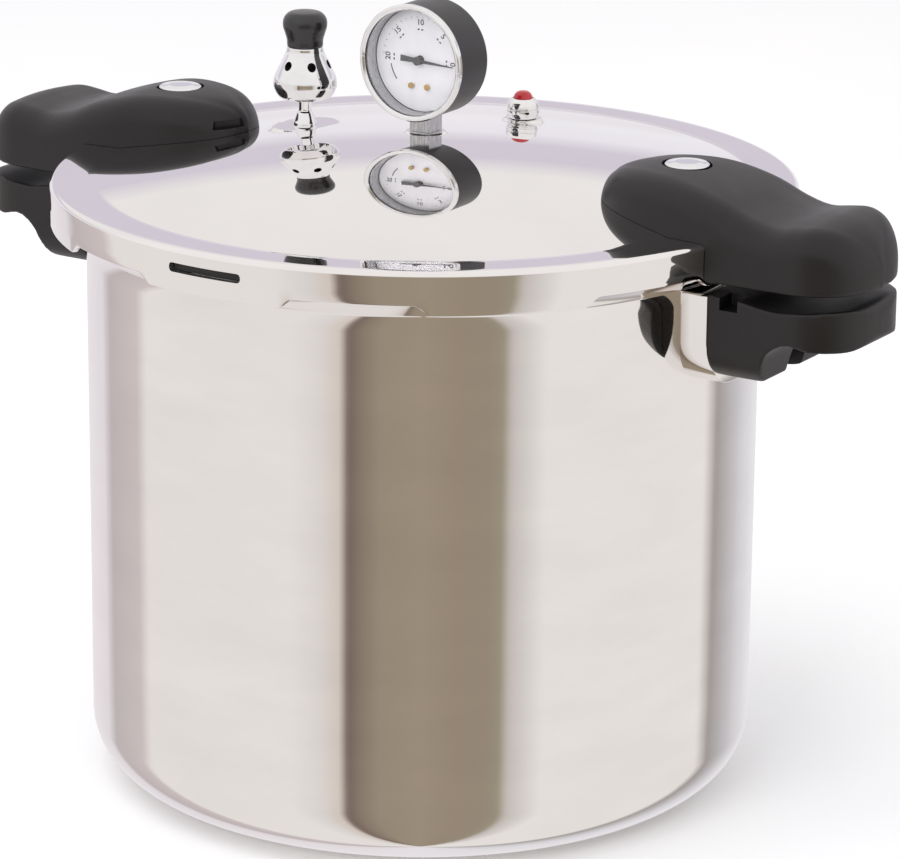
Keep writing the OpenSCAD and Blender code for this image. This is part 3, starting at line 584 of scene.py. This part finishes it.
def nearLidChange(at):
    away = abs((at + 22.5) % 45 - 22.5)
    lug = min(abs(away - lid["lugSpan"] / 2), abs(away - lid["hookSpan"] / 2)) < 1.8
    pad = any(abs((at - math.degrees(math.atan2(p["at"][1], p["at"][0])) + 180) % 360 - 180)
              < math.degrees((p["across"] + 3) / math.hypot(*p["at"])) for p in pads)
    return lug or pad


lidShell = turned("lidShell", lidRows, mirrorAluminium, bearings(1, 0.32, nearLidChange), crease=42)

window = {"bearing": -90.9, "long": 38.4, "low": 276.2, "high": 280.4}
half, tall = window["long"] / 2, window["high"] - window["low"]
slotEdge = softened([(-half, window["low"], tall * 0.49), (half, window["low"], tall * 0.49),
                     (half, window["high"], tall * 0.49), (-half, window["high"], tall * 0.49)], 8, True)
cutter = extruded("windowCut", slotEdge, lid["skirt"] - 5, lid["skirt"] + 5, mirrorAluminium)
settle(cutter, spun(window["bearing"]) @ Matrix(((0, 0, 1, 0), (1, 0, 0, 0), (0, 1, 0, 0), (0, 0, 0, 1))))
carve(lidShell, cutter, crease=42)
fit(lidShell, "cover", "polished_aluminium", "lid")


print("top handles")

grip = {"tip": 100, "low": 269.6, "shoulderWide": 15, "shoulderTall": 13,
        "capAt": 128, "capRadius": 10.2, "seat": 309.6, "notch": (298, 302),
        "voxel": 0.8, "ease": 9}
planHalf = [(100, 0), (102, 11), (109, 20.5), (122, 28.5), (142, 34), (168, 37.5), (206, 37.5), (222, 35),
            (234, 25.5), (239, 13.5), (240, 0)]
topLine = [(100, 296.5), (101.2, 301), (106, 306.4), (116, 310.6), (132, 312.4), (150, 311.6), (170, 306.8),
           (186, 300.4), (199, 297.4), (211, 298.8), (220, 299.6), (229, 297), (236, 290), (240, 279)]
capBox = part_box("handle_cap_right")
grip["capAt"] = (capBox[0].x + capBox[1].x) / 2 / mm


def handleBody(name):
    crown = spline(topLine, 8)
    points, faces, count = [], [], 0
    for x, w in spline(planHalf, 9):
        top = lineAt(crown, x)
        tall = top - grip["low"]
        side, fall = min(grip["shoulderWide"], w * 0.8), min(grip["shoulderTall"], tall * 0.7)
        edge = min(1.6, w * 0.5)
        level = w - side
        section = [(w * t, grip["low"]) for t in (0, 0.4, 0.8)]
        section = [(min(y, max(w - edge, 0)), z) for y, z in section]
        section += [(w - edge * (1 - math.sin(t)), grip["low"] + edge * (1 - math.cos(t)))
                    for t in (math.radians(a) for a in (0, 30, 60, 90))]
        section += [(w, grip["low"] + edge + (top - fall - grip["low"] - edge) * t)
                    for t in (0.2, 0.4, 0.6, 0.8)]
        section += [(level + side * math.cos(t), top - 0.9 - (fall - 0.9) * (1 - math.sin(t)))
                    for t in (math.radians(a) for a in range(0, 91, 10))]
        section += [(level * t, top - 0.9 * t * t) for t in (0.8, 0.6, 0.4, 0.2, 0)]
        ring = section + [(-y, z) for y, z in reversed(section[1:-1])]
        points += [(x, y, z) for y, z in ring]
        count += 1
    n = len(ring)
    for i in range(count - 1):
        a, b = i * n, (i + 1) * n
        faces += [(a + j, a + (j + 1) % n, b + (j + 1) % n, b + j) for j in range(n)]
    return piece(name, points, faces, mouldedPhenolic)


topHandle = fused(handleBody("topHandleRight"), grip["voxel"], grip["ease"])
lidRoom = [(0, 240), (lid["skirt"] + 0.25, 240), (lid["skirt"] + 0.25, 284)]
lidRoom += [(r, z + 0.12) for r, z in reversed(lidTop)]
carve(topHandle, turned("lidRoom", lidRoom, mouldedPhenolic, 360), crease=50)
seat = turned("seatCut", softened([(0, grip["seat"]), (grip["capRadius"] + 1.3, grip["seat"], 0.5),
                                   (grip["capRadius"] + 1.3, 330), (0, 330)]), mouldedPhenolic, 96)
carve(topHandle, settle(seat, moved(grip["capAt"], 0, 0)), crease=50)
notch = [(-4, 2.5), (3.5, 2.5, 0.6), (9.5, 14.5, 0.6), (6, 23), (-4, 23)]  # in the side of the nose
noseCut = extruded("noseCut", softened(notch, 4, True), *grip["notch"], mouldedPhenolic)
carve(topHandle, settle(noseCut, moved(grip["tip"], 0, 0)), crease=50)
topHandleLeft = copied(topHandle, "topHandleLeft", spun(180))
fit(topHandle, "cover", "black_phenolic", "top_handle_right")
fit(topHandleLeft, "cover", "black_phenolic", "top_handle_left")

top = capBox[1].z / mm
capEdge = [(0, top - 3.4), (9.8, top - 3.4, 0.3), (10.2, top - 2.6, 0.2), (10.2, top - 1.2, 0.5),
           (9.3, top - 0.45, 0.6), (8.6, top - 0.7, 0.4), (5.6, top - 0.15, 3), (0, top)]
capRight = settle(turned("handleCapRight", softened(capEdge), chromePlate), moved(grip["capAt"], 0, 0))
capLeft = copied(capRight, "handleCapLeft", spun(180))
fit(capRight, "cover", "chrome", "handle_cap_right")
fit(capLeft, "cover", "chrome", "handle_cap_left")


print("lower handles")

lower = {"inner": 172.3, "half": 37.5, "corner": 17, "low": 224.4, "screw": 241,
         "recess": 187, "recessRadius": 7.5, "recessLong": 17, "voxel": 0.85, "ease": 7}
profile = [Vector((lower["inner"], 264.5)), Vector((lower["inner"], 226))]
profile += spline([(176, 225.2), (190, 224.6), (197, 226)], 5)
profile += spline([(199, 233), (203, 242), (212, 246.5), (222, 244.6), (231, 244)], 6)
profile += softened([(231.5, 244), (240, 244, 6), (240, 263, 6), (226, 263)], 8)[1:-1]
profile += spline([(226, 262.7), (205, 261.5), (190, 263.5)], 5)
flank = extruded("lowerFlank", profile, -40, 40, mouldedPhenolic)
settle(flank, Matrix(((1, 0, 0, 0), (0, 0, 1, 0), (0, 1, 0, 0), (0, 0, 0, 1))))
plan = spline(planHalf, 9)
plan = plan + [Vector((x, -y)) for x, y in reversed(plan[1:-1])]
carve(flank, extruded("lowerPlan", plan, 205, 275, mouldedPhenolic), "INTERSECT")
bend, level = lower["corner"], lower["low"] + lower["corner"]
middle, beyond, below = lower["half"] - bend, lower["half"] + 2.5, 210
for side in (-1, 1):  # round the lower corners of the leg
    arc = [math.radians(-90 + 7.5 * i) for i in range(13)]
    corner = [(middle + bend * math.cos(t), level + bend * math.sin(t)) for t in arc]
    corner = [(side * y, z) for y, z in corner + [(beyond, level), (beyond, below), (middle, below)]]
    slab = extruded("slab", corner, 170, 212, mouldedPhenolic)
    carve(flank, settle(slab, Matrix(((0, 0, 1, 0), (1, 0, 0, 0), (0, 1, 0, 0), (0, 0, 0, 1)))))
lowerHandle = fused(flank, lower["voxel"], lower["ease"])
start, bore, long = lower["recess"], lower["recessRadius"], lower["recessLong"]
recess = turned("recessCut", softened([(0, 0), (bore, 0, 0.6), (bore, long), (0, long)]), mouldedPhenolic, 64)
carve(lowerHandle, settle(recess, moved(start, 0, lower["screw"]) @ spun(90, "Y")), crease=50)
for outline, low, high, matrix in (
    ([(start, -bore, 0.8), (start + long, -bore), (start + long, bore), (start, bore, 0.8)],
     200, lower["screw"], Matrix()),
    ([(179, -45, 0), (188, -45, 0), (188, -26.5, 0.8), (179, -26.5, 0.8)], 258.5, 280, Matrix()),
):
    cutter = extruded("legCut", softened(outline, 4, True), low, high, mouldedPhenolic)
    carve(lowerHandle, settle(cutter, matrix), crease=50)
lowerHandle.name = "lowerHandleRight"
lowerHandleLeft = copied(lowerHandle, "lowerHandleLeft", spun(180))
fit(lowerHandle, "pot", "black_phenolic", "lower_handle_right")
fit(lowerHandleLeft, "pot", "black_phenolic", "lower_handle_left")


print("weight on its vent pipe")

vent = {"at": ventAt, "base": pads[0]["top"], "pipeTop": 24, "weightFoot": 12.7, "knobFoot": 38,
        "holeRadius": 2.1, "holeHeight": 17}
atVent = moved(vent["at"][0], vent["at"][1], vent["base"])
pipe = spline([(5.7, 0), (5.65, 0.8), (5.1, 1.8), (4.5, 3.6), (3.8, 5.6), (3.15, 6.6), (3.05, 8)], 4)
pipeTop = vent["pipeTop"]
pipe = [(0, 0)] + [tuple(p) for p in pipe]
pipe += [(3.05, pipeTop - 0.6), (2.5, pipeTop), (1.2, pipeTop), (1.2, pipeTop - 4), (0, pipeTop - 4)]
ventPipe = settle(turned("ventPipe", pipe, chromePlate, 64), atVent)
fit(ventPipe, "cover", "chrome", "vent_pipe")

weightSide = spline([(10.6, 0.15), (11.9, 0.5), (13.6, 2.2), (15.0, 5.2), (15.25, 7.4), (14.75, 10.4),
                     (12.65, 15),
                     (10.6, 19.2), (9.1, 22.6), (8.75, 24.6)], 7)
weightLine = [(4.4, 9), (8, 8.4), (9.6, 5), (10.1, 1), (10.35, 0.25)] + [tuple(p) for p in weightSide]
weightLine += [(8.6, 25.1), (8.3, 25.3), (4.2, 25.3), (4.2, 21)]
weightBody = turned("weightBody", [(0, 11)] + weightLine[1:-2] + [(0, 25.3)], chromePlate, 160)
bore = vent["holeRadius"]
for i in range(6):
    # the hole walls take the drill's nearly black finish: painted shade inside each hole
    drill = turned("drill", [(0, 0), (bore, 0), (bore, 20), (0, 20)], paintedShadeBore, 32)
    carve(weightBody, settle(drill, spun(20 + 60 * i) @ moved(7, 0, vent["holeHeight"]) @ spun(90, "Y")))
settle(weightBody, atVent @ moved(0, 0, vent["weightFoot"]))
fit(weightBody, "weight", "chrome", "weight_body")

knobSide = spline([(8.6, 0.6), (8.75, 3.4), (9.7, 6.6), (10.6, 10), (10.1, 13.6), (7.6, 16.2),
                   (3.6, 16.9), (0, 17)], 7)
knobLine = [(0, 0), (8.2, 0), (8.45, 0.2)] + [tuple(p) for p in knobSide]
knob = turned("weightKnob", knobLine, turnedPhenolic, 128)
settle(knob, atVent @ moved(0, 0, vent["knobFoot"]))
fit(knob, "weight", "black_phenolic", "weight_knob")


print("indicator")

signal = {"bearing": 90.8, "dist": 89.8, "base": pads[2]["top"]}
atSignal = spun(signal["bearing"]) @ moved(signal["dist"], 0, signal["base"])
collar = [(0, 0), (6.6, 0), (7.3, 0.5, 0.5), (8, 2.4, 1.4), (7.85, 4.4, 0.4), (7.3, 4.6), (7.25, 5.0),
          (7.85, 5.2, 0.3), (7.2, 8, 2), (5.6, 9.7, 0.4), (4.9, 9.8), (4.9, 7), (0, 7)]
collarPiece = settle(turned("indicatorCollar", softened(collar, 6), chromePlate, 96), atSignal)
fit(collarPiece, "cover", "chrome", "indicator_collar")
dome = spline([(4.6, 9.2), (4.5, 10.3), (3.9, 11.7), (2.4, 12.9), (0, 13.3)], 6)
pinLine = [(0, 7.2), (4.6, 7.2)] + [tuple(p) for p in dome]
pin = settle(turned("indicatorPin", pinLine, mouldedRed, 64), atSignal)
fit(pin, "indicator", "red_plastic")


print("gauge")

gauge = {"at": gaugeAt, "axisHeight": 34.7}
# Built facing up, then stood to face the front: local Z runs out of the dial
atGauge = moved(*gauge["at"], pads[1]["top"] + gauge["axisHeight"]) @ spun(90, "X")
case = [(0, -12), (24.4, -12), (27.5, -11.2, 2.2), (27.5, 9.4), (27.5, 12.0), (26.0, 12.0), (25.4, 11.6),
        (25.1, -9.6, 1), (0, -10.2)]
gaugeCase = settle(turned("gaugeCase", softened(case), sprayedEnamel, 160), atGauge)
fit(gaugeCase, "cover", "black_enamel", "gauge_case")
ringLine = [(24.86, 4.75), (24.86, 12.0), (25.3, 12.05), (25.3, 11.7), (24.95, 11.5), (24.95, 4.75)]
innerRing = settle(turned("gaugeInnerRing", ringLine, satinNickel, 160, closed=True), atGauge)
fit(innerRing, "cover", "chrome")
bezelLine = [(27.2, 12.1), (27.9, 12.3, 0.2), (28.0, 14.5, 0.5), (27.2, 15.4, 0.5), (26.2, 15.2, 0.4),
             (25.0, 14.3, 0.3), (25.9, 14.0), (25.9, 12.1)]
bezel = turned("gaugeBezel", softened(bezelLine, closed=True), chromePlate, 192, closed=True)
settle(bezel, atGauge)
fit(bezel, "cover", "chrome", "gauge_bezel")
dialLine = [(24.4, 4.05), (24.6, 4.25), (24.6, 4.45), (24.4, 4.6), (16, 4.6), (8, 4.6), (2.3, 4.6),
            (2.2, 4.5), (2.2, 4.05)]
dial = settle(turned("gaugeDial", dialLine, printedDial, 160, closed=True), atGauge)
fit(dial, "cover", "dial_white", "gauge_dial")

dialPrint = {"top": 4.66, "letter": 3.9, "ringRadius": 20.4, "numberRadius": 18.0,
             "marks": {0: 0, 5: 45, 10: 90, 15: 135, 20: 180}}
strokes = []


def stroke(radius, angle, long, wide, across=0):  # a thin printed dash that points at the centre
    made = extruded("stroke", [(-long / 2, -wide / 2), (long / 2, -wide / 2), (long / 2, wide / 2),
                               (-long / 2, wide / 2)], 4.58, dialPrint["top"], screenInk)
    return settle(made, spun(angle) @ moved(radius, across, 0))


for number, angle in dialPrint["marks"].items():
    strokes += [stroke(14.6, angle, 0.75, 1.15, side) for side in (-1.0, 1.0)]
    font = bpy.data.curves.new("number", "FONT")
    font.body = str(number)
    font.size = dialPrint["letter"] * mm
    font.align_x = "CENTER"
    font.align_y = "CENTER"
    font.extrude = 0.04 * mm
    font.offset = 0.09 * mm
    figure = bpy.data.objects.new("number", font)
    scene.collection.objects.link(figure)
    shape = bpy.data.meshes.new_from_object(figure.evaluated_get(bpy.context.evaluated_depsgraph_get()))
    bpy.data.objects.remove(figure)
    shape.materials.append(screenInk)
    figure = bpy.data.objects.new("number", shape)
    scene.collection.objects.link(figure)
    strokes.append(settle(figure, spun(angle - 90) @ moved(0, dialPrint["numberRadius"], 4.62)))
for i in range(5, 180, 9):
    if min(abs(i - a) for a in dialPrint["marks"].values()) > 3:
        strokes.append(stroke(dialPrint["ringRadius"], i, 0.8, 0.22))
arcEdge = [(16.4, a) for a in range(192, 222, 3)] + [(17.0, a) for a in range(219, 189, -3)]
arcEdge = [(r * math.cos(math.radians(a)), r * math.sin(math.radians(a))) for r, a in arcEdge]
strokes.append(extruded("arc", arcEdge, 4.58, dialPrint["top"], screenInk))
dialInk = settle(joined("dialPrint", strokes), atGauge)
fit(dialInk, "cover", "black_enamel")

lensLine = [(0, 12.1), (25.4, 12.1), (25.7, 12.4), (25.7, 13.6), (25.4, 13.9), (14, 13.9), (0, 13.9)]
lens = settle(turned("gaugeLens", lensLine, floatGlass, 128), atGauge)
fit(lens, "cover", "glass", "gauge_lens")


print("plain nodes")

dress(millAluminium, "canning_rack")
dress(mouldedRubber, "gasket", "indicator_seal")
dress(zincSteel, "lower_handle_screws", "lower_handle_washers", "top_handle_screws", "top_handle_washers",
      "top_handle_nuts", "vent_washer", "vent_nut", "weight_stud", "indicator_nut", "gauge_washer",
      "gauge_nut", "case_screws", "dial_posts")
dress(satinNickel, "gauge_socket")
dress(mouldedRed, "indicator_pin")
dress(turnedBrass, "dial_screws", "tube_tip", "movement_back_plate", "movement_front_plate",
      "movement_pillars", "needle_arbor", "sector_gear", "sector_shaft", "link_bar")
dress(screenInk, "gauge_needle")
dress(drawnBronze, "bourdon_tube", "hairspring")
